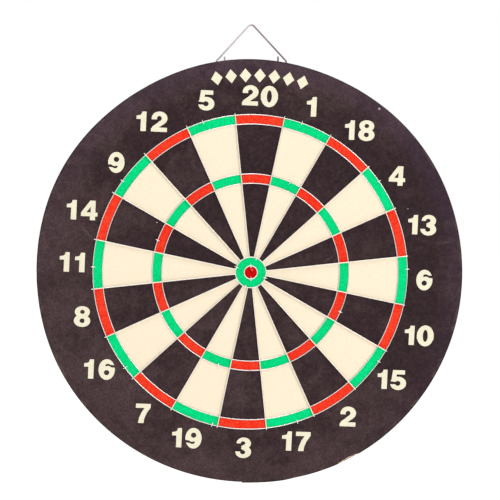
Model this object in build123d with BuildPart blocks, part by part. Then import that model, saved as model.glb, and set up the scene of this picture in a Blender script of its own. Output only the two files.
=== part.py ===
from build123d import *
import os
from math import cos, degrees, radians, sin

# A round wall-hung dartboard: a disc of wound paper strip with a printed paper face,
# a raised wire frame held on by staples, and a loose wire bail to hang it by.
#
# Frame: +Z up, the printed face looks along -Y, +X to the right of someone facing it.
# The origin is the centre of the back face. All sizes are in millimetres.

# ---------------------------------------------------------------- driving dimensions
# Scoring rings, to the middle of their wires
double_outer_radius = 170.0
double_inner_radius = 159.8
treble_outer_radius = 106.3
treble_inner_radius = 96.1
outer_bull_radius = 16.6
bull_radius = 7.1

# Sectors: twenty of them, the whole print and wire frame turned a little clockwise
sector_numbers = [20, 1, 18, 4, 13, 6, 10, 15, 2, 17, 3, 19, 7, 16, 8, 11, 14, 9, 12, 5]
sector_angle = 360 / len(sector_numbers)
face_turn = 3.3

# Disc and papers
core_radius = 228.6
core_thickness = 15.6
band_thickness = 0.6
band_lap_start = 171.0
band_lap_end = 182.3
backing_radius = 205.0
backing_thickness = 0.3
face_paper_thickness = 0.3
ink_thickness = 0.1

# Wire frame and its staples
wire_diameter = 1.1
wire_gap = 0.02
radial_inner_end = 16.2
radial_outer_end = 171.8
staple_wire_diameter = 1.0
staple_span = 4.0
staple_leg_length = 11.0
staple_bend_radius = 0.8

# Numerals: flat figures are as high as digit_height, and round ones overshoot it a little
digit_height = 21.0
digit_overshoot = 0.7
digit_width = 17.6
digit_one_width = 10.5
number_tilt = 2.6

# The numbers were laid out by eye. For each one: how far its middle is clockwise of its
# sector's middle, how far out it is from the centre, and the space between its figures.
number_layout = {
    20: (-1, 190, 2.8), 1: (-3.5, 190, 0), 18: (-5.5, 193, 4.2), 4: (-1.5, 189.5, 0),
    13: (-1.5, 193, 3), 6: (-1.5, 189, 0), 10: (-1.5, 196, 3.2), 15: (-6.5, 193.5, 3.4),
    2: (-4, 190, 0), 17: (-1.5, 190.5, 3.6), 3: (-3, 190.5, 0), 19: (-0.5, 192, 4),
    7: (-6, 191.5, 0), 16: (1, 193.5, 5.2), 8: (1, 187.5, 0), 11: (1, 192.5, 6),
    14: (-2.5, 193.5, 5), 9: (0.5, 187, 0), 12: (-1.5, 194, 5.4), 5: (1, 191.5, 0),
}

# Row of lozenges above the twenty
lozenge_turn = 2.7
lozenge_count = 7
lozenge_radius = 212.0
lozenge_pitch = 4.2
lozenge_width = 12.5
lozenge_height = 15.0

# Wire bail and the two staples that it turns in
bail_wire_diameter = 1.8
bail_offset = 2.0
bail_leg_reach = 38.0
bail_end_reach = 28.9
bail_hinge_height = 219.5
bail_end_height = 231.8
bail_shoulder_height = 227.0
bail_apex_height = 267.9
bail_foot_bend = 3.0
bail_shoulder_bend = 5.0
bail_apex_bend = 4.0
bail_clearance = 0.3
bail_staple_diameter = 1.2
bail_staple_clearance = 0.4
bail_staple_depth = 10.0

# ---------------------------------------------------------------- derived places
# Depths are measured forwards from the back face, so a depth of d lies at Y = -d.
core_back = backing_thickness
core_front = core_back + core_thickness
face_front = core_front + face_paper_thickness
ink_front = face_front + ink_thickness
ring_depth = ink_front + wire_diameter / 2
ring_front = ink_front + wire_diameter
radial_depth = ring_front + wire_gap + wire_diameter / 2
staple_depth = ring_front + wire_gap + staple_wire_diameter / 2
band_radius = core_radius + band_thickness
hinge_y = bail_wire_diameter / 2 + bail_clearance

board_axis = Axis((0, 0, 0), (0, 1, 0))


def front_plane(depth):
    """A sketch plane facing forwards, with local x along +X and local y along +Z."""
    return Plane.XZ.offset(depth)


def clock(angle):
    """Turn an angle measured clockwise from the top into a sketch angle."""
    return 90 - angle


def face_point(radius, angle):
    """A point on the face in sketch coordinates, its angle clockwise from the top."""
    return (radius * sin(radians(angle)), radius * cos(radians(angle)))


def sector_centre(index):
    """The clockwise angle of the middle of a sector, with the face's own turn."""
    return face_turn + index * sector_angle


def finish(builder, name):
    """Label a finished piece and write its STEP file."""
    builder.part.label = name
    export_step(builder.part, f"parts/{name}.step")


os.makedirs("parts", exist_ok=True)

# ---------------------------------------------------------------- disc and papers
# The paper strip, wound tight from the centre out and glued, is one solid puck.
with BuildPart() as wound_core:
    with BuildSketch(front_plane(core_back)):
        Circle(core_radius)
    extrude(amount=core_thickness)
finish(wound_core, "wound_core")

# Kraft sheet glued over the middle of the back
with BuildPart() as backing_sheet:
    with BuildSketch(front_plane(0)):
        Circle(backing_radius)
    extrude(amount=backing_thickness)
finish(backing_sheet, "backing_sheet")

# Black printed paper over the whole front
with BuildPart() as face_sheet:
    with BuildSketch(front_plane(core_front)):
        Circle(core_radius)
    extrude(amount=face_paper_thickness)
finish(face_sheet, "face_sheet")

# Black tape round the rim, with its end lapped over its start at the bottom
with BuildPart() as edge_band:
    with BuildSketch(front_plane(core_back)):
        Circle(band_radius)
        Circle(core_radius, mode=Mode.SUBTRACT)
    extrude(amount=face_front - core_back)
    with BuildSketch(front_plane(core_back)):
        with BuildLine():
            lap_sweep = band_lap_end - band_lap_start
            CenterArc((0, 0), band_radius + band_thickness, clock(band_lap_end), lap_sweep)
            Line(face_point(band_radius + band_thickness, band_lap_start),
                 face_point(core_radius, band_lap_start))
            CenterArc((0, 0), core_radius, clock(band_lap_end), lap_sweep)
            Line(face_point(core_radius, band_lap_end),
                 face_point(band_radius + band_thickness, band_lap_end))
        make_face()
    extrude(amount=face_front - core_back)
finish(edge_band, "edge_band")

# ---------------------------------------------------------------- printed inks
odd_sectors = range(1, len(sector_numbers), 2)
even_sectors = range(0, len(sector_numbers), 2)


def ring_segment(inner, outer, middle):
    """The outline of one bed between two radii, one sector wide."""
    start = middle - sector_angle / 2
    end = middle + sector_angle / 2
    with BuildLine() as outline:
        CenterArc((0, 0), outer, clock(end), sector_angle)
        Line(face_point(outer, start), face_point(inner, start))
        CenterArc((0, 0), inner, clock(end), sector_angle)
        Line(face_point(inner, end), face_point(outer, end))
    return outline.line


def print_beds(sectors, rings):
    """One film of ink: a bed in each of the sectors for each pair of radii."""
    with BuildPart() as film:
        for index in sectors:
            for inner, outer in rings:
                with BuildSketch(front_plane(face_front)):
                    with BuildLine():
                        add(ring_segment(inner, outer, sector_centre(index)))
                    make_face()
                extrude(amount=ink_thickness)
    return film


single_beds = [(outer_bull_radius, treble_inner_radius), (treble_outer_radius, double_inner_radius)]
scoring_beds = [(treble_inner_radius, treble_outer_radius), (double_inner_radius, double_outer_radius)]

cream_beds = print_beds(odd_sectors, single_beds)
finish(cream_beds, "cream_beds")
red_beds = print_beds(even_sectors, scoring_beds)
finish(red_beds, "red_beds")
green_beds = print_beds(odd_sectors, scoring_beds)
finish(green_beds, "green_beds")

with BuildPart() as outer_bull_print:
    with BuildSketch(front_plane(face_front)):
        Circle(outer_bull_radius)
        Circle(bull_radius, mode=Mode.SUBTRACT)
    extrude(amount=ink_thickness)
finish(outer_bull_print, "outer_bull_print")

with BuildPart() as bull_print:
    with BuildSketch(front_plane(face_front)):
        Circle(bull_radius)
    extrude(amount=ink_thickness)
finish(bull_print, "bull_print")

# ---------------------------------------------------------------- numerals
# Heavy upright figures. Each one is a sketch about its own centre, cut from ovals
# and straight-sided shapes that are sized from half its width and half its height.
half_w = digit_width / 2
half_h = digit_height / 2
round_h = half_h + digit_overshoot
stem = 5.8
bar = 4.6
beyond = digit_width


def polygon(*points, mode=Mode.ADD):
    """A straight-sided shape with its corners where they are given."""
    Polygon(*points, align=None, mode=mode)


with BuildSketch() as digit_0:
    Ellipse(half_w + 0.4, round_h + 0.2)
    Rectangle(digit_width + 0.7, 7.0)
    Ellipse(2.7, round_h - bar, mode=Mode.SUBTRACT)

with BuildSketch() as digit_1:
    right = digit_one_width / 2
    left = right - stem
    polygon((left, -half_h), (right, -half_h), (right, half_h), (left + 1.4, half_h),
            (left + 0.6, half_h - 2.8), (left - 1.2, half_h - 4.0), (-right, half_h - 4.6),
            (-right, half_h - 8.2), (left, half_h - 8.2))

with BuildSketch() as digit_2:
    with Locations((0, 4.0)):
        Ellipse(half_w - 0.3, round_h - 4.0)
    with Locations((-0.2, 3.8)):
        Ellipse(2.6, 2.7, mode=Mode.SUBTRACT)
    polygon((-beyond, 2.6), (-0.2, 2.6), (1.8, 2.6), (-5.6, -4.4), (-beyond, -4.4), mode=Mode.SUBTRACT)
    polygon((-half_w, -half_h), (-half_w, -7.6), (-7.2, -5.0), (1.2, 1.4), (3.0, 4.0), (7.6, 1.2),
            (5.6, -1.6), (-0.6, -half_h + bar), (half_w - 0.4, -half_h + bar), (half_w - 0.4, -half_h))

with BuildSketch() as digit_3:
    with Locations((0.2, 4.8)):
        Ellipse(half_w - 1.0, round_h - 4.8)
    with Locations((0, -4.5)):
        Ellipse(half_w - 0.2, round_h - 4.5)
    with Locations((-0.6, 5.0)):
        Ellipse(2.5, 2.0, mode=Mode.SUBTRACT)
    with Locations((-0.6, -4.8)):
        Ellipse(2.8, 2.3, mode=Mode.SUBTRACT)
    polygon((-beyond, 4.6), (-0.6, 4.6), (-0.6, 2.2), (-beyond, 2.0), mode=Mode.SUBTRACT)
    polygon((-beyond, -4.2), (-0.6, -4.2), (-0.6, -1.8), (-beyond, -1.8), mode=Mode.SUBTRACT)
    polygon((-beyond, 3.0), (-2.2, 3.0), (-2.2, -3.0), (-beyond, -3.0), mode=Mode.SUBTRACT)

with BuildSketch() as digit_4:
    polygon((0.6, half_h), (6.4, half_h), (6.4, -2.2), (half_w, -2.2), (half_w, -6.4), (6.4, -6.4),
            (6.4, -half_h), (0.8, -half_h), (0.8, -6.4), (-half_w, -6.4), (-half_w, -2.6))
    polygon((1.4, 3.8), (1.4, -2.2), (-3.2, -2.2), mode=Mode.SUBTRACT)

with BuildSketch() as digit_5:
    with Locations((0, -3.9)):
        Ellipse(half_w - 0.1, round_h - 3.9)
    with Locations((-0.4, -3.9)):
        Ellipse(2.9, 2.7, mode=Mode.SUBTRACT)
    polygon((-beyond, -5.2), (-0.4, -5.0), (-0.4, -2.6), (-beyond, -1.0), mode=Mode.SUBTRACT)
    polygon((-6.2, half_h), (-7.6, -1.0), (-2.4, -0.2), (-1.8, half_h - bar), (7.0, half_h - bar),
            (7.0, half_h))

with BuildSketch() as digit_6:
    Ellipse(half_w, round_h)
    with Locations((0, -3.3)):
        Ellipse(2.9, 2.8, mode=Mode.SUBTRACT)
    polygon((-1.8, 4.4), (-0.4, 6.2), (2.4, 6.2), (4.0, 5.2), (beyond, 4.8), (beyond, 1.6),
            (5.2, 2.4), (3.2, 3.6), (1.2, 4.0), (-0.8, 3.2), mode=Mode.SUBTRACT)

with BuildSketch() as digit_7:
    polygon((-half_w + 0.9, half_h), (half_w - 0.8, half_h), (half_w - 0.8, half_h - 4.0),
            (4.0, 0.6), (1.6, -5.4), (1.0, -half_h), (-5.0, -half_h), (-4.0, -4.8), (-1.6, 1.2),
            (1.6, half_h - bar), (-half_w + 0.9, half_h - bar))

with BuildSketch() as digit_8:
    with Locations((0, 5.0)):
        Ellipse(half_w - 0.7, round_h - 5.0)
    with Locations((0, -4.5)):
        Ellipse(half_w, round_h - 4.5)
    with Locations((0, 5.0)):
        Ellipse(2.5, 2.2, mode=Mode.SUBTRACT)
    with Locations((0, -4.5)):
        Ellipse(2.7, 2.5, mode=Mode.SUBTRACT)

with BuildSketch() as digit_9:
    add(digit_6.sketch, rotation=180)

digits = {
    "0": digit_0, "1": digit_1, "2": digit_2, "3": digit_3, "4": digit_4,
    "5": digit_5, "6": digit_6, "7": digit_7, "8": digit_8, "9": digit_9,
}


def figure_width(figure):
    """How wide one figure stands."""
    return digit_one_width if figure == "1" else digit_width


def number_places(number, index):
    """Where each figure of a number goes: (figure, x, z), upright on the turned face."""
    figures = str(number)
    along_ring, radius, digit_space = number_layout[number]
    centre_x, centre_z = face_point(radius, sector_centre(index) + degrees(along_ring / radius))
    total = sum(figure_width(figure) for figure in figures) + digit_space * (len(figures) - 1)
    along = -total / 2
    places = []
    for figure in figures:
        middle = along + figure_width(figure) / 2
        x = centre_x + middle * cos(radians(number_tilt))
        z = centre_z - middle * sin(radians(number_tilt))
        places.append((figure, x, z))
        along += figure_width(figure) + digit_space
    return places


with BuildPart() as numerals:
    with BuildSketch(front_plane(face_front)):
        for index, number in enumerate(sector_numbers):
            for figure, x, z in number_places(number, index):
                with Locations(Location((x, z, 0), (0, 0, -number_tilt))):
                    add(digits[figure].sketch)
    extrude(amount=ink_thickness)
finish(numerals, "numerals")

# A plain row of lozenges in an arc over the twenty
with BuildPart() as lozenge_row:
    with BuildSketch(front_plane(face_front)):
        for index in range(lozenge_count):
            angle = lozenge_turn + (index - (lozenge_count - 1) / 2) * lozenge_pitch
            with Locations(Location((*face_point(lozenge_radius, angle), 0), (0, 0, -angle))):
                polygon((0, lozenge_height / 2), (lozenge_width / 2, 0),
                        (0, -lozenge_height / 2), (-lozenge_width / 2, 0))
    extrude(amount=ink_thickness)
finish(lozenge_row, "lozenge_row")

# ---------------------------------------------------------------- wire frame
ring_wires = {
    "double_outer_wire": double_outer_radius,
    "double_inner_wire": double_inner_radius,
    "treble_outer_wire": treble_outer_radius,
    "treble_inner_wire": treble_inner_radius,
    "outer_bull_wire": outer_bull_radius,
    "bull_wire": bull_radius,
}

# Each ring is a round wire bent to a full circle, lying on the print.
for name, radius in ring_wires.items():
    with BuildPart() as ring_wire:
        with BuildSketch(Plane.XY):
            with Locations((radius, -ring_depth)):
                Circle(wire_diameter / 2)
        revolve(axis=board_axis, revolution_arc=360)
    finish(ring_wire, name)

# Each radial wire is straight and lies across the rings, between two sectors.
radial_length = radial_outer_end - radial_inner_end
for index in range(len(sector_numbers)):
    angle = sector_centre(index) + sector_angle / 2
    x, z = face_point(radial_inner_end, angle)
    outward = (sin(radians(angle)), 0, cos(radians(angle)))
    with BuildPart() as radial_wire:
        with BuildSketch(Plane(origin=(x, -radial_depth, z), z_dir=outward)):
            Circle(wire_diameter / 2)
        extrude(amount=radial_length)
    finish(radial_wire, f"radial_wire_{index + 1:02d}")

# ---------------------------------------------------------------- staples on the wires
# Clockwise angles of the hand-driven staples that hold each ring down
ring_staples = {
    "double_ring_staples": (
        double_outer_radius,
        [18.9, 54.8, 89.1, 125.0, 162.7, 194.3, 233.1, 272.3, 305.7, 342.3],
    ),
    "treble_ring_staples": (treble_outer_radius, [23.7, 114.0, 199.3, 289.3]),
    "outer_bull_staples": (outer_bull_radius, [21.5, 111.0, 201.5, 291.0]),
    "bull_staples": (bull_radius, [0.0, 180.0]),
}


# One staple with its crown upright across the board's axis and its legs in the disc
crown_end = staple_span / 2
staple_tip = staple_leg_length - staple_depth
with BuildPart() as ring_staple:
    with BuildLine() as staple_path:
        FilletPolyline((0, staple_tip, -crown_end), (0, -staple_depth, -crown_end),
                       (0, -staple_depth, crown_end), (0, staple_tip, crown_end),
                       radius=staple_bend_radius)
    with BuildSketch(Plane(origin=(0, staple_tip, -crown_end), z_dir=(0, -1, 0))):
        Circle(staple_wire_diameter / 2)
    sweep(path=staple_path.line)

# Each staple goes out to its ring wire, with its crown along the radius there.
for name, (radius, angles) in ring_staples.items():
    with BuildPart() as staples:
        for angle in angles:
            x, z = face_point(radius, angle)
            with Locations(Location((x, 0, z), (0, angle, 0))):
                add(ring_staple.part)
    finish(staples, name)

# ---------------------------------------------------------------- bail
# One wire: up behind the rim, out along the hinge line, up each leg and over the apex.
right_half = [
    (bail_end_reach, bail_end_height),
    (bail_end_reach, bail_hinge_height),
    (bail_leg_reach, bail_hinge_height),
    (bail_leg_reach, bail_shoulder_height),
]
left_half = [(-x, z) for x, z in reversed(right_half)]
bail_corners = right_half + [(0, bail_apex_height)] + left_half
bail_route = [(bail_offset + x, hinge_y, z) for x, z in bail_corners]
bail_bends = [bail_foot_bend, bail_foot_bend, bail_shoulder_bend, bail_apex_bend,
              bail_shoulder_bend, bail_foot_bend, bail_foot_bend]

with BuildPart() as hanger_bail:
    with BuildLine() as bail_path:
        FilletPolyline(*bail_route, radius=bail_bends)
    with BuildSketch(Plane(origin=bail_route[0], z_dir=(0, 0, -1))):
        Circle(bail_wire_diameter / 2)
    sweep(path=bail_path.line)
finish(hanger_bail, "hanger_bail")

# Each bail staple stands astride the hinge run, one leg above it and one below.
staple_reach = bail_wire_diameter / 2 + bail_staple_clearance + bail_staple_diameter / 2
foot_middle = (bail_end_reach + bail_leg_reach) / 2

for name, side in {"hanger_staple_right": 1, "hanger_staple_left": -1}.items():
    x = bail_offset + side * foot_middle
    crown_y = hinge_y + staple_reach
    lower = bail_hinge_height - staple_reach
    upper = bail_hinge_height + staple_reach
    with BuildPart() as hanger_staple:
        with BuildLine() as path:
            FilletPolyline((x, -bail_staple_depth, lower), (x, crown_y, lower),
                           (x, crown_y, upper), (x, -bail_staple_depth, upper),
                           radius=staple_bend_radius)
        with BuildSketch(Plane(origin=(x, -bail_staple_depth, lower), z_dir=(0, 1, 0))):
            Circle(bail_staple_diameter / 2)
        sweep(path=path.line)
    finish(hanger_staple, name)
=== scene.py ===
import math
import random

import bmesh
import bpy
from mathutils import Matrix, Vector, noise


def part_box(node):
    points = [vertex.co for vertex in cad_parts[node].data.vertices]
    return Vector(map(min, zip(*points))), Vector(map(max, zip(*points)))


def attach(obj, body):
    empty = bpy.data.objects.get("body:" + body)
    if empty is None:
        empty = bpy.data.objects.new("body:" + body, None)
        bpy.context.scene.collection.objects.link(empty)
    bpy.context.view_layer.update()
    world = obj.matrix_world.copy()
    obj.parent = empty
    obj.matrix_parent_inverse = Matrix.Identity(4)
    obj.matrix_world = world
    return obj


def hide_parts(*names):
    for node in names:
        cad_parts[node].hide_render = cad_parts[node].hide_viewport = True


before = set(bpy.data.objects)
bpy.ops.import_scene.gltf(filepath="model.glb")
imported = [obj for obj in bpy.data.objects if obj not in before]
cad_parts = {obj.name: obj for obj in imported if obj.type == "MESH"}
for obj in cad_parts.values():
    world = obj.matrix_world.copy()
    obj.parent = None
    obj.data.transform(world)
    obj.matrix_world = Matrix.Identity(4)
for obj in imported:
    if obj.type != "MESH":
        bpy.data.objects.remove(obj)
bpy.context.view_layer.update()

# A wound paper dartboard with a printed face, a raised wire frame and a wire bail.
# The shared frame, in metres: +Z up, the printed face looks along -Y, the back face is at Y = 0.
# Clockwise angles are in degrees from the top, as someone facing the board sees them.

MM = 0.001

# ---------------------------------------------------------------- sizes from the CAD frame
core_low, core_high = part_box("wound_core")
backing_low, backing_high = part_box("backing_sheet")
bail_low, bail_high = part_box("hanger_bail")

CORE_RADIUS = core_high.x
BAND_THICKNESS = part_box("edge_band")[1].x - CORE_RADIUS
BACKING_RADIUS = backing_high.x
CORE_BACK = -core_high.y
CORE_FRONT = -core_low.y
FACE_FRONT = -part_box("face_sheet")[0].y
INK_FRONT = -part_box("cream_beds")[0].y

# ---------------------------------------------------------------- sizes the frame has no box for
SECTORS = 20
SECTOR_ANGLE = 360 / SECTORS
FACE_TURN = 3.3
WIRE_RADIUS = 0.55 * MM
WIRE_GAP = 0.02 * MM
RADIAL_INNER_END = 16.2 * MM
RADIAL_OUTER_END = 171.75 * MM
RADIAL_DRIFT = 0.7 * MM
RADIAL_DRIFT_TOWARD = 295.0
STAPLE_WIRE_RADIUS = 0.5 * MM
STAPLE_SPAN = 4.0 * MM
STAPLE_LEG_LENGTH = 11.0 * MM
STAPLE_SHOULDER_DROP = 0.55 * MM
STAPLE_FLAT_SHARE = 0.35
STAPLE_SKEW = 9
BAIL_WIRE_RADIUS = 0.9 * MM
BAIL_OFFSET = 2.0 * MM
BAIL_LEG_REACH = 38.0 * MM
BAIL_END_REACH = 28.9 * MM
BAIL_HINGE_HEIGHT = 219.5 * MM
BAIL_END_HEIGHT = 231.8 * MM
BAIL_SHOULDER_HEIGHT = 227.0 * MM
BAIL_APEX_HEIGHT = 267.9 * MM
BAIL_FOOT_BEND = 3.0 * MM
BAIL_SHOULDER_BEND = 5.0 * MM
BAIL_APEX_BEND = 4.0 * MM
BAIL_STAPLE_RADIUS = 0.6 * MM
BAIL_STAPLE_CLEARANCE = 0.4 * MM
BAIL_STAPLE_DEPTH = 10.0 * MM
LAP_START = 171.0
LAP_END = 182.3
LAP_CLIMB = 3.0
LAP_LIFT = 0.35 * MM

RING_DEPTH = INK_FRONT + WIRE_RADIUS
RADIAL_DEPTH = RING_DEPTH + 2 * WIRE_RADIUS + WIRE_GAP
STAPLE_DEPTH = RING_DEPTH + WIRE_RADIUS + WIRE_GAP + STAPLE_WIRE_RADIUS
HINGE_Y = (bail_low.y + bail_high.y) / 2

# How the hand-wound disc is out of round: (waves round the rim, swing, clockwise phase).
# The one with no waves is how far the paper has swelled all round.
OUT_OF_ROUND = [(0, 0.5 * MM, 0), (2, 1.2 * MM, 210), (3, 0.3 * MM, 38), (4, 0.25 * MM, 203),
                (5, 0.3 * MM, 8), (6, 0.25 * MM, 330), (7, 0.25 * MM, 325)]

# The torn spot on the rim: where it is, and how deep it goes into the face and the tape
CHIP_MIDDLE = 152.4
CHIP_HALF_WIDTH = 3.2
CHIP_FACE_DEPTH = 1.6 * MM
CHIP_TAPE_DEPTH = 5.5 * MM
CHIP_FRAY = 0.4 * MM
# A pale speck on the border at the upper right
PALE_SPECK = (139 * MM, 176 * MM)

# ---------------------------------------------------------------- camera and light
CAMERA_AZIMUTH = -4.4
CAMERA_ELEVATION = 3.95
CAMERA_DISTANCE = 3.013
CAMERA_LENS = 201.2
CAMERA_SHIFT_X = -0.0015
CAMERA_SHIFT_Y = 0.0448


def make_camera():
    """The camera looks at the middle of the wire frame, a little from the left and above."""
    azimuth = math.radians(CAMERA_AZIMUTH)
    elevation = math.radians(CAMERA_ELEVATION)
    back = Vector((
        math.sin(azimuth) * math.cos(elevation),
        -math.cos(azimuth) * math.cos(elevation),
        math.sin(elevation),
    ))
    data = bpy.data.cameras.new("camera")
    data.lens = CAMERA_LENS
    data.shift_x = CAMERA_SHIFT_X
    data.shift_y = CAMERA_SHIFT_Y
    data.clip_end = 50
    camera = bpy.data.objects.new("camera", data)
    camera.location = Vector((0, -RING_DEPTH, 0)) + back * CAMERA_DISTANCE
    camera.rotation_mode = "QUATERNION"
    camera.rotation_quaternion = (-back).to_track_quat("-Z", "Y")
    bpy.context.scene.collection.objects.link(camera)
    bpy.context.scene.camera = camera


LIGHTS = {
    "key_light": {"place": (1.75, -2.45, 1.35), "size": 1.3, "power": 36},
    "top_light": {"place": (-0.1, -1.6, 2.9), "size": 1.4, "power": 44},
    "front_light": {"place": (-0.3, -3.4, 0.4), "size": 1.8, "power": 6},
}
ROOM_LIGHT = 0.28
FLOOR_GLOW = 0.8
FLOOR_HEIGHT = -0.75
FLOOR_REACH = 12.0


def make_area_light(name, place, size, power):
    """A square soft light that faces the board."""
    data = bpy.data.lights.new(name, "AREA")
    data.shape = "SQUARE"
    data.size = size
    data.energy = power
    light = bpy.data.objects.new(name, data)
    light.location = place
    light.rotation_mode = "QUATERNION"
    light.rotation_quaternion = (-Vector(place)).to_track_quat("-Z", "Y")
    bpy.context.scene.collection.objects.link(light)


def make_studio():
    """White surroundings, a key light from the upper right, two broad lights and a pale floor."""
    scene = bpy.context.scene
    scene.view_settings.view_transform = "Standard"
    world = bpy.data.worlds.new("studio_white")
    world.use_nodes = True
    nodes = world.node_tree.nodes
    links = world.node_tree.links
    room = nodes["Background"]
    room.inputs["Color"].default_value = (1, 1, 1, 1)
    room.inputs["Strength"].default_value = ROOM_LIGHT
    backdrop = nodes.new("ShaderNodeBackground")
    backdrop.inputs["Color"].default_value = (1, 1, 1, 1)
    backdrop.inputs["Strength"].default_value = 1.0
    chooser = nodes.new("ShaderNodeMixShader")
    links.new(nodes.new("ShaderNodeLightPath").outputs["Is Camera Ray"], chooser.inputs["Fac"])
    links.new(room.outputs["Background"], chooser.inputs[1])
    links.new(backdrop.outputs["Background"], chooser.inputs[2])
    links.new(chooser.outputs["Shader"], nodes["World Output"].inputs["Surface"])
    scene.world = world
    for name, light in LIGHTS.items():
        make_area_light(name, **light)

    mesh = bpy.data.meshes.new("floor")
    corners = [(x * FLOOR_REACH, y * FLOOR_REACH, FLOOR_HEIGHT)
               for x, y in ((-1, -1), (1, -1), (1, 1), (-1, 1))]
    mesh.from_pydata(corners, [], [(0, 1, 2, 3)])
    floor = bpy.data.objects.new("floor", mesh)
    scene.collection.objects.link(floor)
    shader = Shader("pale_floor", roughness=0.9, specular=0.1)
    grain = shader.noise(3.0, detail=2)
    shader.color(shader.mix(grain, (0.90, 0.90, 0.89), (0.93, 0.93, 0.92)))
    shader.surface.inputs["Emission Color"].default_value = (1, 1, 1, 1)
    shader.surface.inputs["Emission Strength"].default_value = FLOOR_GLOW
    floor.data.materials.append(shader.material)


# ---------------------------------------------------------------- shader helper
class Shader:
    """A Principled material, with short calls for the texture nodes that feed it."""

    def __init__(self, name, roughness=0.5, specular=0.5, metallic=0.0):
        self.material = bpy.data.materials.new(name)
        self.material.use_nodes = True
        self.tree = self.material.node_tree
        self.surface = self.tree.nodes["Principled BSDF"]
        self.surface.inputs["Roughness"].default_value = roughness
        self.surface.inputs["Specular IOR Level"].default_value = specular
        self.surface.inputs["Metallic"].default_value = metallic
        self.place = self.tree.nodes.new("ShaderNodeTexCoord").outputs["Object"]
        self.relief = None

    def link(self, source, socket):
        """Join an output to an input, or set the input when the source is a plain value."""
        if isinstance(source, bpy.types.NodeSocket):
            self.tree.links.new(source, socket)
        elif isinstance(source, tuple) and len(source) == 3 and len(socket.default_value) == 4:
            socket.default_value = (*source, 1.0)
        else:
            socket.default_value = source

    def math(self, operation, first, second=0.0):
        node = self.tree.nodes.new("ShaderNodeMath")
        node.operation = operation
        self.link(first, node.inputs[0])
        self.link(second, node.inputs[1])
        return node.outputs[0]

    def stretch(self, scale, turn=0.0, place=None):
        """The object's coordinates, turned about the board's axis and then scaled."""
        turned = self.tree.nodes.new("ShaderNodeMapping")
        turned.inputs["Rotation"].default_value = (0, math.radians(turn), 0)
        self.link(place or self.place, turned.inputs["Vector"])
        node = self.tree.nodes.new("ShaderNodeMapping")
        node.inputs["Scale"].default_value = scale
        self.link(turned.outputs["Vector"], node.inputs["Vector"])
        return node.outputs["Vector"]

    def noise(self, scale, detail=3.0, roughness=0.5, place=None, distortion=0.0):
        node = self.tree.nodes.new("ShaderNodeTexNoise")
        node.inputs["Scale"].default_value = scale
        node.inputs["Detail"].default_value = detail
        node.inputs["Roughness"].default_value = roughness
        node.inputs["Distortion"].default_value = distortion
        self.link(place or self.place, node.inputs["Vector"])
        return node.outputs["Fac"]

    def cells(self, scale, place=None):
        """Distance to the nearest of a set of scattered points, and a random value for each."""
        node = self.tree.nodes.new("ShaderNodeTexVoronoi")
        node.inputs["Scale"].default_value = scale
        self.link(place or self.place, node.inputs["Vector"])
        split = self.tree.nodes.new("ShaderNodeSeparateColor")
        self.link(node.outputs["Color"], split.inputs["Color"])
        return node.outputs["Distance"], split.outputs["Red"]

    def band(self, value, low, high, low_value=0.0, high_value=1.0):
        """Map a value from one range to another, smoothly and held at both ends."""
        node = self.tree.nodes.new("ShaderNodeMapRange")
        node.interpolation_type = "SMOOTHSTEP"
        self.link(value, node.inputs["Value"])
        node.inputs["From Min"].default_value = low
        node.inputs["From Max"].default_value = high
        node.inputs["To Min"].default_value = low_value
        node.inputs["To Max"].default_value = high_value
        return node.outputs["Result"]

    def mix(self, amount, first, second):
        node = self.tree.nodes.new("ShaderNodeMix")
        node.data_type = "RGBA"
        self.link(amount, node.inputs["Factor"])
        self.link(first, node.inputs["A"])
        self.link(second, node.inputs["B"])
        return node.outputs["Result"]

    def axes(self):
        """The object's X, Y and Z coordinates as separate values."""
        split = self.tree.nodes.new("ShaderNodeSeparateXYZ")
        self.link(self.place, split.inputs["Vector"])
        return split.outputs["X"], split.outputs["Y"], split.outputs["Z"]

    def depth(self):
        """How far a place lies in front of the back face."""
        return self.math("MULTIPLY", self.axes()[1], -1)

    def radius(self, middle=(0.0, 0.0)):
        """Distance from the board's axis, or from another place (x, z) on its face."""
        x, _, z = self.axes()
        across = self.math("SUBTRACT", x, middle[0])
        up = self.math("SUBTRACT", z, middle[1])
        across = self.math("MULTIPLY", across, across)
        up = self.math("MULTIPLY", up, up)
        return self.math("SQRT", self.math("ADD", across, up))

    def toward(self, angle):
        """How far a place lies from the axis towards a clockwise angle."""
        x, _, z = self.axes()
        turn = math.radians(angle)
        return self.math("ADD", self.math("MULTIPLY", x, math.sin(turn)),
                         self.math("MULTIPLY", z, math.cos(turn)))

    def spiral(self, pitch):
        """A value that climbs from 0 to 1 across each turn of a winding about the axis."""
        x, _, z = self.axes()
        turns = self.math("DIVIDE", self.math("ARCTAN2", x, z), math.tau)
        return self.math("FRACT", self.math("SUBTRACT", self.math("DIVIDE", self.radius(), pitch), turns))

    def color(self, source):
        self.link(source, self.surface.inputs["Base Color"])

    def roughness(self, source):
        self.link(source, self.surface.inputs["Roughness"])

    def bump(self, source, depth):
        """Add a bump on top of those already there."""
        node = self.tree.nodes.new("ShaderNodeBump")
        node.inputs["Strength"].default_value = 1.0
        node.inputs["Distance"].default_value = depth
        self.link(source, node.inputs["Height"])
        if self.relief is not None:
            self.link(self.relief, node.inputs["Normal"])
        self.relief = node.outputs["Normal"]
        self.link(self.relief, self.surface.inputs["Normal"])


# ---------------------------------------------------------------- materials
STRIP_PITCH = 1.5 * MM


def paper_relief(shader):
    """What every printed area shares: paper fibre, and the wound strip showing through."""
    shader.bump(shader.noise(900, detail=3), 0.03 * MM)
    turns = shader.spiral(STRIP_PITCH)
    shader.bump(shader.math("ABSOLUTE", shader.math("SUBTRACT", turns, 0.5)), 0.03 * MM)


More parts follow.
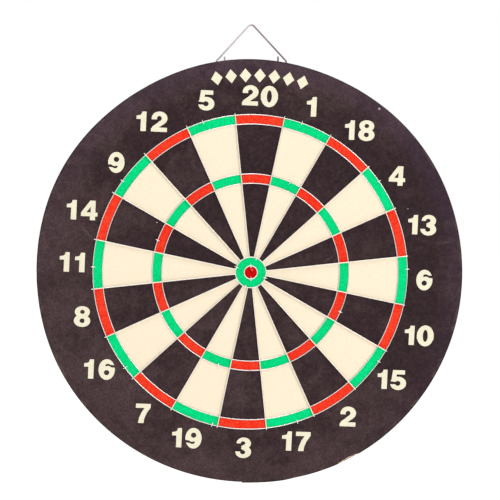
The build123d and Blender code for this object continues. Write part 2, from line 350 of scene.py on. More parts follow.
def black_print():
    """Black paper with a plum cast, lighter towards the lower left and along the top, and scuffed."""
    shader = Shader("black_print", roughness=0.8, specular=0.1)
    lower_left_lift = shader.band(shader.toward(215), -0.11, 0.20, 0.0, 0.42)
    top_edge = shader.math("MULTIPLY", shader.band(shader.radius(), 0.185, 0.215),
                           shader.band(shader.toward(-5), 0.05, 0.20, 0.06, 0.34))
    patches = shader.band(shader.noise(13, detail=2, roughness=0.6), 0.3, 0.7, -0.2, 0.22)
    clouds = shader.band(shader.noise(62, detail=4, roughness=0.7, distortion=0.6), 0.3, 0.72, -0.08, 0.38)
    lightening = shader.math("ADD", shader.math("ADD", lower_left_lift, top_edge), shader.math("ADD", patches, clouds))
    tone = shader.mix(shader.band(lightening, 0, 1), (0.0240, 0.0117, 0.0135), (0.073, 0.0430, 0.0450))
    mottle = shader.band(shader.noise(230, detail=3, roughness=0.65), 0.36, 0.66)
    tone = shader.mix(shader.math("MULTIPLY", mottle, 0.2), tone, (0.095, 0.066, 0.070))
    grain = shader.band(shader.noise(640, detail=2), 0.38, 0.62)
    tone = shader.mix(shader.math("MULTIPLY", grain, 0.42), tone, (0.014, 0.006, 0.007))
    for turn, scale, strength in [(35, 9, 0.35), (-50, 11, 0.25), (8, 8, 0.25)]:
        lines = shader.noise(scale, detail=2, place=shader.stretch((1, 1, 14), turn))
        patch = shader.band(shader.noise(14, detail=2), 0.55, 0.7)
        scuff = shader.math("MULTIPLY", shader.band(lines, 0.67, 0.72), patch)
        tone = shader.mix(shader.math("MULTIPLY", scuff, strength), tone, (0.13, 0.09, 0.095))
    distance, pick = shader.cells(70)
    dot = shader.math("LESS_THAN", distance, 0.045)
    chosen = shader.math("GREATER_THAN", pick, 0.93)
    tone = shader.mix(shader.math("MULTIPLY", dot, chosen), tone, (0.75, 0.70, 0.62))
    worn_edge = shader.math("MULTIPLY", shader.band(shader.radius(), 0.2262, 0.2286),
                            shader.band(shader.noise(60, detail=4), 0.5, 0.62))
    tone = shader.mix(shader.math("MULTIPLY", worn_edge, 0.35), tone, (0.13, 0.09, 0.06))
    plum = shader.math("MULTIPLY", shader.band(shader.radius(), 0.200, 0.227),
                       shader.band(shader.toward(25), -0.2, 0.2, 0.0, 0.15))
    tone = shader.mix(plum, tone, (0.080, 0.046, 0.100))
    speck = shader.band(shader.radius(PALE_SPECK), 0.5 * MM, 1.7 * MM, 0.8, 0)
    shader.color(shader.mix(speck, tone, (0.55, 0.40, 0.44)))
    shader.roughness(shader.band(mottle, 0, 1, 0.7, 0.86))
    paper_relief(shader)
    return shader.material


def coloured_print(name, tone, lighter, darker, grain_strength=0.45, inner_weight=0.0, marks=None):
    """One printed colour: uneven ink over paper with a few dirt specks, heavier near the middle."""
    shader = Shader(name, roughness=0.66, specular=0.04)
    cloud = shader.band(shader.noise(60, detail=4, roughness=0.6), 0.35, 0.65)
    light_grain = shader.band(shader.noise(760, detail=2), 0.42, 0.62)
    dark_grain = shader.band(shader.noise(690, detail=2, distortion=0.4), 0.44, 0.66)
    mixed = shader.mix(shader.math("MULTIPLY", cloud, 0.35), tone, lighter)
    mixed = shader.mix(shader.math("MULTIPLY", light_grain, grain_strength), mixed, lighter)
    mixed = shader.mix(shader.math("MULTIPLY", dark_grain, grain_strength), mixed, darker)
    mixed = shader.mix(shader.band(shader.radius(), 0.11, 0.15, inner_weight, 0), mixed, darker)
    distance, pick = shader.cells(150)
    speck = shader.math("MULTIPLY", shader.math("LESS_THAN", distance, 0.07),
                        shader.math("GREATER_THAN", pick, 0.97))
    mixed = shader.mix(shader.math("MULTIPLY", speck, 0.6), mixed, (0.10, 0.07, 0.05))
    if marks is not None:
        mixed = marks(shader, mixed)
    shader.color(mixed)
    shader.roughness(shader.band(dark_grain, 0, 1, 0.6, 0.74))
    paper_relief(shader)
    return shader.material


def bull_marks(shader, tone):
    """A dark diagonal stroke across the bull, and a painted highlight beside it."""
    stroke_offset = shader.math("ABSOLUTE", shader.math("SUBTRACT", shader.toward(45), 0.4 * MM))
    length = shader.math("ABSOLUTE", shader.toward(135))
    dark_stroke = shader.math("MULTIPLY", shader.band(stroke_offset, 0.3 * MM, 0.9 * MM, 1, 0),
                       shader.band(length, 2.5 * MM, 4.5 * MM, 1, 0))
    # Painted highlight: a paler red spot beside the dark stroke.
    painted_highlight = shader.band(shader.radius((1.6 * MM, 2.6 * MM)), 0.4 * MM, 1.7 * MM, 1, 0)
    tone = shader.mix(shader.math("MULTIPLY", painted_highlight, 0.55), tone, (0.80, 0.14, 0.10))
    return shader.mix(shader.math("MULTIPLY", dark_stroke, 0.7), tone, (0.14, 0.0, 0.004))


def number_print():
    """Pale ink with a slightly broken edge where the black shows through."""
    shader = Shader("number_print", roughness=0.68, specular=0.06)
    cloud = shader.band(shader.noise(90, detail=3), 0.35, 0.65)
    tone = shader.mix(cloud, (0.73, 0.685, 0.52), (0.76, 0.72, 0.55))
    grain = shader.band(shader.noise(600, detail=3), 0.45, 0.7)
    tone = shader.mix(shader.math("MULTIPLY", grain, 0.35), tone, (0.64, 0.57, 0.39))
    missed = shader.band(shader.noise(700, detail=4, roughness=0.7), 0.68, 0.76)
    shader.color(shader.mix(shader.math("MULTIPLY", missed, 0.5), tone, (0.30, 0.24, 0.18)))
    paper_relief(shader)
    return shader.material


def edge_tape():
    """Black tape: fine creases along the rim, rubbed to brown at its corners."""
    shader = Shader("edge_tape", roughness=0.8, specular=0.06)
    cloud = shader.band(shader.noise(40, detail=4), 0.35, 0.65)
    tone = shader.mix(cloud, (0.020, 0.013, 0.014), (0.036, 0.025, 0.026))
    front = shader.band(shader.depth(), FACE_FRONT - 1.3 * MM, FACE_FRONT)
    back = shader.band(shader.depth(), CORE_BACK + 1.0 * MM, CORE_BACK)
    corners = shader.math("ADD", front, back)
    rubbed = shader.band(shader.noise(110, detail=5, roughness=0.7), 0.52, 0.62)
    wear = shader.math("MULTIPLY", shader.math("MULTIPLY", corners, rubbed), 0.45)
    shader.color(shader.mix(wear, tone, (0.17, 0.115, 0.07)))
    shader.roughness(shader.band(cloud, 0, 1, 0.72, 0.86))
    shader.bump(shader.noise(260, detail=4), 0.12 * MM)
    shader.bump(shader.noise(1500, detail=2), 0.03 * MM)
    return shader.material


def wound_kraft():
    """The cut edges of the wound brown paper strip, each turn its own brown, paler where it is torn."""
    shader = Shader("wound_kraft", roughness=0.88, specular=0.1)
    turns = shader.spiral(STRIP_PITCH)
    joint = shader.band(shader.math("ABSOLUTE", shader.math("SUBTRACT", turns, 0.5)), 0.34, 0.5)
    step = shader.math("FLOOR", shader.math("DIVIDE", shader.radius(), STRIP_PITCH))
    shade = shader.math("FRACT", shader.math("MULTIPLY", shader.math("SINE", step), 43.7))
    fibre = shader.band(shader.noise(500, detail=5, roughness=0.7), 0.3, 0.7)
    tone = shader.mix(shade, (0.40, 0.275, 0.165), (0.52, 0.37, 0.235))
    tone = shader.mix(shader.math("MULTIPLY", fibre, 0.4), tone, (0.62, 0.47, 0.32))
    stain = shader.band(shader.noise(22, detail=3), 0.52, 0.7)
    tone = shader.mix(shader.math("MULTIPLY", stain, 0.3), tone, (0.30, 0.20, 0.12))
    tone = shader.mix(joint, tone, (0.16, 0.10, 0.06))
    torn = shader.band(shader.depth(), CORE_FRONT - 2.5 * MM, CORE_FRONT - 0.8 * MM)
    strokes = shader.band(shader.noise(330, detail=3), 0.40, 0.52)
    frayed = shader.mix(strokes, (0.70, 0.53, 0.42), (0.27, 0.17, 0.12))
    shader.color(shader.mix(shader.math("MULTIPLY", torn, 0.75), tone, frayed))
    shader.bump(shader.noise(1300, detail=4), 0.08 * MM)
    return shader.material


def kraft_sheet():
    """Plain brown paper: long fibres, dark flecks and slow changes of tone."""
    shader = Shader("kraft_sheet", roughness=0.82, specular=0.14)
    cloud = shader.band(shader.noise(18, detail=4), 0.35, 0.65)
    fibre = shader.noise(300, detail=4, place=shader.stretch((1, 1, 0.22)))
    flecks = shader.noise(1400, detail=2, place=shader.stretch((1, 1, 0.3), 40))
    tone = shader.mix(cloud, (0.50, 0.355, 0.215), (0.55, 0.40, 0.25))
    lines = shader.math("MULTIPLY", shader.band(fibre, 0.45, 0.7), 0.5)
    tone = shader.mix(lines, tone, (0.42, 0.285, 0.165))
    dashes = shader.math("MULTIPLY", shader.band(flecks, 0.66, 0.72), 0.6)
    tone = shader.mix(dashes, tone, (0.25, 0.16, 0.09))
    shader.color(tone)
    shader.bump(fibre, 0.05 * MM)
    ripple = shader.noise(30, detail=2)
    shader.bump(ripple, 0.35 * MM)
    return shader.material


def plated_wire(name, tone, dull, tarnish, metallic=1.0, smoothest=0.30, roughest=0.38):
    """Plated steel wire with faint drawing lines and small dull spots."""
    shader = Shader(name, roughness=0.3, specular=0.5, metallic=metallic)
    cloud = shader.band(shader.noise(120, detail=3), 0.4, 0.7)
    spots = shader.band(shader.noise(900, detail=4, roughness=0.7), 0.62, 0.72)
    mixed = shader.mix(cloud, tone, dull)
    shader.color(shader.mix(shader.math("MULTIPLY", spots, 0.25), mixed, tarnish))
    shader.roughness(shader.band(shader.math("ADD", cloud, spots), 0, 1.4, smoothest, roughest))
    shader.bump(shader.noise(3500, detail=2), 0.001 * MM)
    return shader.material


def hanger_wire():
    """Dull plated wire with a mauve cast; its left leg is painted lighter and its right leg darker, as
    painted light and shade.
    """
    shader = Shader("hanger_wire", roughness=0.5, specular=0.4, metallic=0.6)
    # Painted shade: the right leg takes a darker copy of the tone and the left leg a lighter lit copy,
    # standing in for how light falls on the two legs.
    right = shader.band(shader.axes()[0], BAIL_OFFSET - 4 * MM, BAIL_OFFSET + 3 * MM)
    cloud = shader.band(shader.noise(90, detail=3), 0.35, 0.65)
    lit_leg_tone = shader.mix(cloud, (0.72, 0.625, 0.665), (0.64, 0.55, 0.59))
    shaded_leg_tone = shader.mix(cloud, (0.33, 0.235, 0.27), (0.26, 0.18, 0.21))
    shader.color(shader.mix(right, lit_leg_tone, shaded_leg_tone))
    shader.roughness(shader.band(cloud, 0, 1, 0.46, 0.58))
    shader.bump(shader.noise(1500, detail=2), 0.006 * MM)
    return shader.material


# ---------------------------------------------------------------- shape helpers
def face_point(radius, angle, depth):
    """A point at a clockwise angle and radius, a given depth in front of the back face."""
    turn = math.radians(angle)
    return Vector((radius * math.sin(turn), -depth, radius * math.cos(turn)))


def bulge(value, half_width):
    """A smooth hump: one at zero, falling to nothing at the half width."""
    if abs(value) >= half_width:
        return 0.0
    return 0.5 + 0.5 * math.cos(math.pi * value / half_width)


def make_piece(name, vertices, faces, body, material, replaced, smooth=True):
    """A mesh piece, its faces turned outwards, that rides on a body and stands for its CAD nodes."""
    mesh = bpy.data.meshes.new(name)
    mesh.from_pydata([tuple(v) for v in vertices], [], faces)
    mesh.validate()
    shape = bmesh.new()
    shape.from_mesh(mesh)
    bmesh.ops.recalc_face_normals(shape, faces=shape.faces)
    shape.to_mesh(mesh)
    shape.free()
    mesh.materials.append(material)
    piece = bpy.data.objects.new(name, mesh)
    bpy.context.scene.collection.objects.link(piece)
    if smooth:
        mesh.shade_smooth()
    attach(piece, body)
    if replaced:
        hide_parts(*replaced)
    return piece


def loop_faces(rows, columns, wrap_rows=True):
    """Quads of a grid whose columns close on themselves, and its rows too if asked."""
    faces = []
    for row in range(rows if wrap_rows else rows - 1):
        here = row * columns
        there = ((row + 1) % rows) * columns
        for column in range(columns):
            following = (column + 1) % columns
            faces.append((here + column, here + following, there + following, there + column))
    return faces


def ring_solid(profile_at, segments):
    """A closed ring: profile_at(angle) gives the same number of (radius, depth) points each time."""
    vertices = []
    size = 0
    for index in range(segments):
        angle = 360 * index / segments
        profile = profile_at(angle)
        size = len(profile)
        vertices.extend(face_point(radius, angle, depth) for radius, depth in profile)
    return vertices, loop_faces(segments, size)


def disc_solid(profile_at, segments):
    """A closed disc: its profile runs from the axis at the front, out and round, to the axis at the back."""
    vertices = []
    size = 0
    for index in range(segments):
        angle = 360 * index / segments
        profile = profile_at(angle)[1:-1]
        size = len(profile)
        vertices.extend(face_point(radius, angle, depth) for radius, depth in profile)
    faces = []
    for row in range(segments):
        here = row * size
        there = ((row + 1) % segments) * size
        for column in range(size - 1):
            faces.append((here + column, here + column + 1, there + column + 1, there + column))
    ends = profile_at(0)
    front = len(vertices)
    vertices.append(face_point(0, 0, ends[0][1]))
    vertices.append(face_point(0, 0, ends[-1][1]))
    for row in range(segments):
        here = row * size
        there = ((row + 1) % segments) * size
        faces.append((front, here, there))
        faces.append((here + size - 1, front + 1, there + size - 1))
    return vertices, faces


TUBE_SIDES = 12
# Each step of a rounded end: how far past the last point, and how thick, as shares of the radius
TUBE_TIP = ((0.15, 0.95), (0.4, 0.75), (0.55, 0.35))


def tube(points, radius, flat_normal, closed=False):
    """A round wire along points that lie in one plane; open ends are rounded over."""
    flat_normal = Vector(flat_normal).normalized()
    rings = []
    count = len(points)
    for index, point in enumerate(points):
        if closed:
            along = points[(index + 1) % count] - points[index - 1]
        else:
            along = points[min(index + 1, count - 1)] - points[max(index - 1, 0)]
        rings.append((point, along.normalized(), radius))
    if not closed:
        first, along, _ = rings[0]
        last, onward, _ = rings[-1]
        start = [(first - along * radius * past, along, radius * size) for past, size in reversed(TUBE_TIP)]
        end = [(last + onward * radius * past, onward, radius * size) for past, size in TUBE_TIP]
        rings = start + rings + end
    vertices = []
    for point, along, size in rings:
        side = along.cross(flat_normal).normalized()
        for step in range(TUBE_SIDES):
            turn = math.tau * step / TUBE_SIDES
            vertices.append(point + (side * math.cos(turn) + flat_normal * math.sin(turn)) * size)
    faces = loop_faces(len(rings), TUBE_SIDES, wrap_rows=closed)
    if not closed:
        faces.append(tuple(reversed(range(TUBE_SIDES))))
        last_ring = (len(rings) - 1) * TUBE_SIDES
        faces.append(tuple(range(last_ring, last_ring + TUBE_SIDES)))
    return vertices, faces


def joined(parts):
    """Several (vertices, faces) lists as one."""
    vertices = []
    faces = []
    for more_vertices, more_faces in parts:
        shift = len(vertices)
        vertices.extend(more_vertices)
        faces.extend(tuple(index + shift for index in face) for face in more_faces)
    return vertices, faces


def blob(centre, sizes, axes, rings=6, sides=10):
    """A closed ellipsoid, for a spot of weld."""
    vertices = []
    for ring in range(1, rings):
        tilt = math.pi * ring / rings
        for step in range(sides):
            turn = math.tau * step / sides
            offset = (axes[0] * sizes[0] * math.sin(tilt) * math.cos(turn)
                      + axes[1] * sizes[1] * math.sin(tilt) * math.sin(turn)
                      + axes[2] * sizes[2] * math.cos(tilt))
            vertices.append(centre + offset)
    faces = loop_faces(rings - 1, sides, wrap_rows=False)
    top = len(vertices)
    vertices.append(centre + axes[2] * sizes[2])
    vertices.append(centre - axes[2] * sizes[2])
    last = (rings - 2) * sides
    for step in range(sides):
        following = (step + 1) % sides
        faces.append((top, following, step))
        faces.append((top + 1, last + step, last + following))
    return vertices, faces


def bent_path(corners, bends, steps=8):
    """Points along straight runs joined by round bends, as a wire bender makes them."""
    points = [corners[0]]
    for index, bend in enumerate(bends, start=1):
        corner = corners[index]
        inward = (corners[index - 1] - corner).normalized()
        outward = (corners[index + 1] - corner).normalized()
        half = inward.angle(outward) / 2
        reach = bend / math.tan(half)
        middle = corner + (inward + outward).normalized() * (bend / math.sin(half))
        first = (corner + inward * reach - middle).normalized()
        last = (corner + outward * reach - middle).normalized()
        points.extend(middle + first.slerp(last, step / steps) * bend for step in range(steps + 1))
    points.append(corners[-1])
    return points


def subdivided(points, spacing):
    """The same path with extra points on its long runs."""
    dense = [points[0]]
    for start, end in zip(points, points[1:]):
        cuts = max(1, round((end - start).length / spacing))
        dense.extend(start.lerp(end, cut / cuts) for cut in range(1, cuts + 1))
    return dense


# ---------------------------------------------------------------- disc, face, tape and back
RIM_SEGMENTS = 900


def rim_offset(angle):
    """How far the rim stands out from a true circle at a clockwise angle."""
    return sum(swing * math.cos(math.radians(waves * angle - phase))
               for waves, swing, phase in OUT_OF_ROUND)


def chip(angle):
    """How torn the rim is at an angle: about 1 amid the torn spot, 0 away from it, with a jagged outline."""
    jag = noise.noise(Vector((angle * 1.7, 0.5, 0))) * 0.7 + noise.noise(Vector((angle * 5.1, 4, 0))) * 0.35
    return bulge(angle - CHIP_MIDDLE + jag * 0.5, CHIP_HALF_WIDTH) ** 0.5 * (1 + 0.35 * jag)


def nick(angle, grain):
    """Small random wear along an edge."""
    fine = noise.noise(Vector((angle * grain, 9.5, 0)))
    return max(0.0, fine - 0.25)


def make_wound_disc(material):
    """The wound strip: its turns show at the back round the kraft sheet, and at the chip."""
    rows = 76
    inner = BACKING_RADIUS - 4 * MM

    def profile_at(angle):
        outer = CORE_RADIUS + rim_offset(angle)
        torn = chip(angle)
        front_inner = outer - 12 * MM
        frayed = CHIP_FRAY * torn * (1 + noise.noise(Vector((angle * 6, 1, 0))))
        points = [(0, CORE_FRONT), (front_inner, CORE_FRONT)]
        for step in range(1, 9):
            radius = front_inner + (outer + frayed - front_inner) * step / 8
            ragged = noise.noise(Vector((angle * 4, step * 1.3, 2))) * 0.25 * MM * torn
            points.append((radius, CORE_FRONT - 0.45 * MM * torn * (step / 8) ** 3 + ragged))
        for share in (0.06, 0.2, 0.5, 0.8, 0.94):
            depth = CORE_FRONT + (CORE_BACK - CORE_FRONT) * share
            points.append((outer + frayed * max(0, 1 - share * 2.5), depth))
        for row in range(rows + 1):
            radius = outer + (inner - outer) * row / rows
            phase = (radius / STRIP_PITCH - angle / 360) % 1
            groove = bulge(min(phase, 1 - phase), 0.3)
            uneven = noise.noise(Vector((radius * 900, angle * 0.08, 5))) * 0.06 * MM
            points.append((radius, CORE_BACK + groove * 0.22 * MM + abs(uneven)))
        points.append((0, CORE_BACK))
        return points

    vertices, faces = disc_solid(profile_at, RIM_SEGMENTS)
    make_piece("wound_disc", vertices, faces, "board", material, ["wound_core"])


def make_face_paper(material):
    """The printed sheet: flat under the print, eased over at the rim, torn back at the chip."""
    flat_edge = 226.0 * MM
    edge_sink = 0.14 * MM
    torn_lift = 0.12 * MM
    paper = FACE_FRONT - CORE_FRONT

    def profile_at(angle):
        tear = CHIP_FACE_DEPTH * chip(angle) + 0.25 * MM * nick(angle, 2.3)
        edge = CORE_RADIUS + rim_offset(angle) - tear
        shoulder = min(flat_edge, edge - 1.2 * MM)
        lift = torn_lift * min(1.0, chip(angle)) * noise.noise(Vector((angle * 3, 7, 0)))
        points = [(0, FACE_FRONT), (0.1, FACE_FRONT), (shoulder, FACE_FRONT)]
        for share in (0.35, 0.65, 0.85, 1.0):
            sink = edge_sink * share ** 3
            points.append((shoulder + (edge - shoulder) * share, FACE_FRONT - sink + lift * share))
        points.append((edge - 0.05 * MM, CORE_FRONT + 0.3 * paper + lift))
        points.append((edge - 0.2 * MM, CORE_FRONT))
        points.append((0.1, CORE_FRONT))
        points.append((0, CORE_FRONT))
        return points

    vertices, faces = disc_solid(profile_at, RIM_SEGMENTS)
    make_piece("face_paper", vertices, faces, "board", material, ["face_sheet"])


def make_rim_tape(material):
    """The tape: a lapped end at the bottom, small creases, and a torn front edge at the chip."""
    side_rows = 14

    def lap_height(angle):
        if not LAP_START - LAP_CLIMB < angle < LAP_END:
            return 0.0
        climb = min(1.0, (angle - LAP_START + LAP_CLIMB) / LAP_CLIMB)
        lifted = LAP_LIFT * bulge(angle - LAP_END, 0.9)
        return climb * BAND_THICKNESS * 1.2 + lifted

    def profile_at(angle):
        inner = CORE_RADIUS + rim_offset(angle)
        outer = inner + BAND_THICKNESS + lap_height(angle)
        cut = CHIP_TAPE_DEPTH * chip(angle) + 0.3 * MM * nick(angle, 3.1)
        front = FACE_FRONT - cut
        points = [(inner, front - 0.02 * MM), (inner + BAND_THICKNESS * 0.4, front)]
        points.append((outer - 0.12 * MM, front - 0.04 * MM))
        for row in range(side_rows + 1):
            share = row / side_rows
            depth = front - 0.2 * MM + (CORE_BACK + 0.25 * MM - front + 0.2 * MM) * share
            place = Vector((angle * 0.5, depth * 260, 3))
            crease = noise.noise(place) * 0.16 * MM + noise.noise(place * 3.3) * 0.06 * MM
            fade = min(1.0, 6 * share, 6 * (1 - share))
            points.append((outer + crease * fade, depth))
        points.append((outer - 0.15 * MM, CORE_BACK + 0.03 * MM))
        points.append((inner + BAND_THICKNESS * 0.4, CORE_BACK))
        points.append((inner, CORE_BACK + 0.02 * MM))
        return points

    vertices, faces = ring_solid(profile_at, RIM_SEGMENTS * 2)
    make_piece("rim_tape", vertices, faces, "board", material, ["edge_band"])


def make_kraft_back(material):
    """The brown sheet on the back, its edge cut by hand and lifted a little in places."""
    rows = 46
    thickness = backing_high.y - backing_low.y
    back_surface = 0.06 * MM

    def profile_at(angle):
        edge = BACKING_RADIUS - 0.5 * MM * (1 + noise.noise(Vector((angle * 0.09, 2, 0))))
        edge -= 0.15 * MM * nick(angle, 4.0)
        points = [(0, thickness)]
        points.append((edge, thickness))
        for row in range(rows):
            radius = edge * (1 - row / rows)
            place = face_point(radius, angle, 0) / (34 * MM)
            ripple = 0.10 * MM * noise.noise(place) + 0.04 * MM * noise.noise(place * 3.1)
            points.append((radius, back_surface - ripple * min(1.0, radius / (20 * MM))))
        points.append((0, back_surface))
        return points

    vertices, faces = disc_solid(profile_at, 360)
    make_piece("kraft_back", vertices, faces, "board", material, ["backing_sheet"])


# ---------------------------------------------------------------- wire frame
RING_NODES = ["double_outer_wire", "double_inner_wire", "treble_outer_wire", "treble_inner_wire",
              "outer_bull_wire", "bull_wire"]


def ring_radius(node):
    """Radius to the middle of a ring wire."""
    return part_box(node)[1].x - WIRE_RADIUS


def make_ring_wire(node, seed, material):
    """A ring wire, very slightly out of true, with a butt weld where its ends meet."""
    radius = ring_radius(node)
    count = max(72, round(math.tau * radius / (3 * MM)))
    wander = min(0.25 * MM, radius * 0.01)
    points = []
    for index in range(count):
        angle = 360 * index / count
        place = face_point(2, angle, 0)
        wave = noise.noise(Vector((place.x, place.z, seed)))
        points.append(face_point(radius + wander * wave, angle, RING_DEPTH))
    shape = tube(points, WIRE_RADIUS, (0, 1, 0), closed=True)
    weld_angle = FACE_TURN + SECTOR_ANGLE * (7 + 2 * seed) + 4
    outward = face_point(1, weld_angle, 0)
    along = face_point(1, weld_angle + 90, 0)
    weld = blob(face_point(radius, weld_angle, RING_DEPTH),
                (WIRE_RADIUS * 1.12, WIRE_RADIUS * 1.12, WIRE_RADIUS * 1.3),
                (outward, Vector((0, 1, 0)), along))
    vertices, faces = joined([shape, weld])
    make_piece(node.replace("_wire", "_ring"), vertices, faces, "board", material, [node])


def make_radial_wire(index, material):
    """A straight wire across the rings, with a small spot weld on each ring that it crosses.

    The whole set of them lies a little to one side, so some reach further past the outer ring.
    """
    angle = FACE_TURN + SECTOR_ANGLE * (index + 0.5)
    across = face_point(1, angle + 90, 0)
    outward = face_point(1, angle, 0)
    count = 40
    bow_size = 0.22 * MM
    points = []
    drift = RADIAL_DRIFT * math.cos(math.radians(angle - RADIAL_DRIFT_TOWARD))
    outer_end = RADIAL_OUTER_END + drift
    for step in range(count + 1):
        share = step / count
        radius = RADIAL_INNER_END + (outer_end - RADIAL_INNER_END) * share
        bow = noise.noise(Vector((share * 2.2, index * 1.7, 0))) * bow_size * math.sin(math.pi * share)
        points.append(face_point(radius, angle, RADIAL_DEPTH) + across * bow)
    parts = [tube(points, WIRE_RADIUS, (0, 1, 0))]
    for node in RING_NODES[:-1]:
        radius = ring_radius(node)
        centre = face_point(max(radius, RADIAL_INNER_END), angle, (RING_DEPTH + RADIAL_DEPTH) / 2)
        parts.append(blob(centre, (WIRE_RADIUS * 0.95, WIRE_RADIUS * 0.95, WIRE_RADIUS * 0.7),
                          (across, outward, Vector((0, 1, 0)))))
    vertices, faces = joined(parts)
    number = f"{index + 1:02d}"
    replaced = [f"radial_wire_{number}"]
    make_piece(f"radial_{number}", vertices, faces, "board", material, replaced)


# ---------------------------------------------------------------- staples
def staple_middles(node):
    """Where the staples of a node stand: the middle of each of its separate solids."""
    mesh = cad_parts[node].data
    links = list(range(len(mesh.vertices)))

    def root(vertex):
        while links[vertex] != vertex:
            links[vertex] = links[links[vertex]]
            vertex = links[vertex]
        return vertex

    places = {}
    for vertex in mesh.vertices:
        key = tuple(round(c * 1e6) for c in vertex.co)
        links[root(vertex.index)] = root(places.setdefault(key, vertex.index))
    for edge in mesh.edges:
        links[root(edge.vertices[0])] = root(edge.vertices[1])
    groups = {}
    for vertex in mesh.vertices:
        groups.setdefault(root(vertex.index), []).append(vertex.co)
    middles = []
    for members in groups.values():
        low = Vector(min(m[axis] for m in members) for axis in range(3))
        high = Vector(max(m[axis] for m in members) for axis in range(3))
        middles.append((low + high) / 2)
    return sorted(middles, key=lambda m: math.atan2(m.x, m.z))


def make_ring_staples(node, material, seed):
    """Wire staples astride a ring wire, each hammered in at a slightly different skew."""
    chance = random.Random(seed)
    parts = []
    for middle in staple_middles(node):
        radius = math.hypot(middle.x, middle.z)
        angle = math.degrees(math.atan2(middle.x, middle.z))
        skew = math.radians(chance.uniform(-STAPLE_SKEW, STAPLE_SKEW))
        outward = face_point(1, angle, 0)
        across = face_point(1, angle + 90, 0)
        crown = outward * math.cos(skew) + across * math.sin(skew)
        centre = face_point(radius, angle, 0)
        half = STAPLE_SPAN / 2
        over = STAPLE_DEPTH
        shoulder = STAPLE_DEPTH - STAPLE_SHOULDER_DROP
        tip = STAPLE_DEPTH - STAPLE_LEG_LENGTH
        inner = centre - crown * half
        outer = centre + crown * half
        corners = [
            inner + Vector((0, -tip, 0)),
            inner + Vector((0, -shoulder, 0)),
            centre - crown * half * STAPLE_FLAT_SHARE + Vector((0, -over, 0)),
            centre + crown * half * STAPLE_FLAT_SHARE + Vector((0, -over, 0)),
            outer + Vector((0, -shoulder, 0)),
            outer + Vector((0, -tip, 0)),
        ]
        bends = [0.8 * MM, 0.9 * MM, 0.9 * MM, 0.8 * MM]
        path = bent_path(corners, bends, steps=5)
        flat_normal = crown.cross(Vector((0, 1, 0)))
        parts.append(tube(subdivided(path, 3 * MM), STAPLE_WIRE_RADIUS, flat_normal))
    vertices, faces = joined(parts)
    name = node.replace("_staples", "_staple_set")
    make_piece(name, vertices, faces, "board", material, [node])


def make_hanger_staple(node, side, material):
    """A heavier staple over one foot of the bail, one leg above the foot and one below."""
    x = BAIL_OFFSET + side * (BAIL_END_REACH + BAIL_LEG_REACH) / 2
    reach = BAIL_WIRE_RADIUS + BAIL_STAPLE_CLEARANCE + BAIL_STAPLE_RADIUS
    crown_y = HINGE_Y + reach
    low = BAIL_HINGE_HEIGHT - reach
    high = BAIL_HINGE_HEIGHT + reach
    corners = [Vector((x, -BAIL_STAPLE_DEPTH, low)), Vector((x, crown_y, low)),
               Vector((x, crown_y, high)), Vector((x, -BAIL_STAPLE_DEPTH, high))]
    path = bent_path(corners, [0.8 * MM, 0.8 * MM], steps=6)
    vertices, faces = tube(subdivided(path, 3 * MM), BAIL_STAPLE_RADIUS, (1, 0, 0))
    name = node.replace("hanger_staple", "bail_staple")
    make_piece(name, vertices, faces, "board", material, [node])


# ---------------------------------------------------------------- bail
def make_bail(material):
    """The hanging wire: a U-shaped foot at each end and a small bend at the top."""
    right = [
        (BAIL_END_REACH, BAIL_END_HEIGHT),
        (BAIL_END_REACH, BAIL_HINGE_HEIGHT),
        (BAIL_LEG_REACH, BAIL_HINGE_HEIGHT),
        (BAIL_LEG_REACH, BAIL_SHOULDER_HEIGHT),
    ]
    left = [(-x, z) for x, z in reversed(right)]
    corners = [Vector((BAIL_OFFSET + x, HINGE_Y, z)) for x, z in right + [(0, BAIL_APEX_HEIGHT)] + left]
    bends = [BAIL_FOOT_BEND, BAIL_FOOT_BEND, BAIL_SHOULDER_BEND, BAIL_APEX_BEND,
             BAIL_SHOULDER_BEND, BAIL_FOOT_BEND, BAIL_FOOT_BEND]
    path = subdivided(bent_path(corners, bends), 2.5 * MM)
    vertices, faces = tube(path, BAIL_WIRE_RADIUS, (0, 1, 0))
    make_piece("wire_bail", vertices, faces, "bail", material, ["hanger_bail"])


# ---------------------------------------------------------------- the scene
def paint(node, material):
    """Give a CAD node its finished material."""
    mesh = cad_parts[node].data
    mesh.materials.clear()
    mesh.materials.append(material)


make_camera()
make_studio()

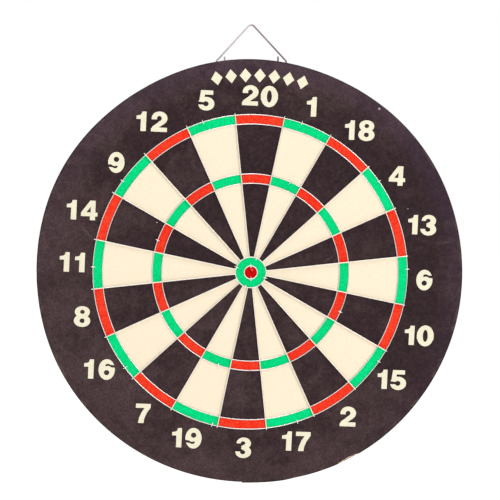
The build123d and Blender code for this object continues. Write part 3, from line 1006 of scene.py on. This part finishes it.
cream = coloured_print("cream_print", (0.81, 0.698, 0.533), (0.835, 0.728, 0.567), (0.745, 0.613, 0.437),
                       grain_strength=0.4)
red = coloured_print("red_print", (0.77, 0.021, 0.006), (0.86, 0.085, 0.035), (0.58, 0.006, 0.004),
                     grain_strength=0.6, inner_weight=0.14)
green = coloured_print("green_print", (0.0, 0.575, 0.17), (0.0, 0.735, 0.28), (0.0, 0.40, 0.09),
                       grain_strength=0.6, inner_weight=0.14)
bull_red = coloured_print("bull_red_print", (0.52, 0.0, 0.0), (0.66, 0.004, 0.003), (0.30, 0.0, 0.0),
                          grain_strength=0.6, marks=bull_marks)
pale = number_print()
for node, material in {
    "cream_beds": cream,
    "red_beds": red,
    "green_beds": green,
    "outer_bull_print": green,
    "bull_print": bull_red,
    "numerals": pale,
    "lozenge_row": pale,
}.items():
    paint(node, material)

make_wound_disc(wound_kraft())
make_face_paper(black_print())
make_rim_tape(edge_tape())
make_kraft_back(kraft_sheet())

frame_wire = plated_wire("frame_wire", (0.80, 0.77, 0.73), (0.73, 0.70, 0.66), (0.46, 0.43, 0.39))
# The bull rings are the same wire as the other rings, painted paler: a painted highlight.
bull_wire = plated_wire("bull_wire", (0.88, 0.86, 0.81), (0.80, 0.78, 0.73), (0.50, 0.47, 0.42),
                        metallic=0.8, smoothest=0.4, roughest=0.5)
# The radial wires are the same wire as the rings; their paler, warmer tone is painted light: a painted sheen
# and a painted reflection of the cream paper.
spoke_wire_painted_light = plated_wire("spoke_wire_painted_light", (0.86, 0.80, 0.71), (0.79, 0.73, 0.64), (0.58, 0.52, 0.44),
                         metallic=0.6, smoothest=0.42, roughest=0.54)
staple_wire = plated_wire("staple_wire", (0.93, 0.91, 0.88), (0.85, 0.83, 0.80), (0.55, 0.52, 0.48),
                          metallic=0.85, smoothest=0.34, roughest=0.46)

for seed, node in enumerate(RING_NODES):
    make_ring_wire(node, seed, bull_wire if "bull" in node else frame_wire)
for index in range(SECTORS):
    make_radial_wire(index, spoke_wire_painted_light)
for seed, node in enumerate(["double_ring_staples", "treble_ring_staples", "outer_bull_staples",
                             "bull_staples"]):
    make_ring_staples(node, staple_wire, seed)
make_hanger_staple("hanger_staple_right", 1, staple_wire)
make_hanger_staple("hanger_staple_left", -1, staple_wire)
make_bail(hanger_wire())
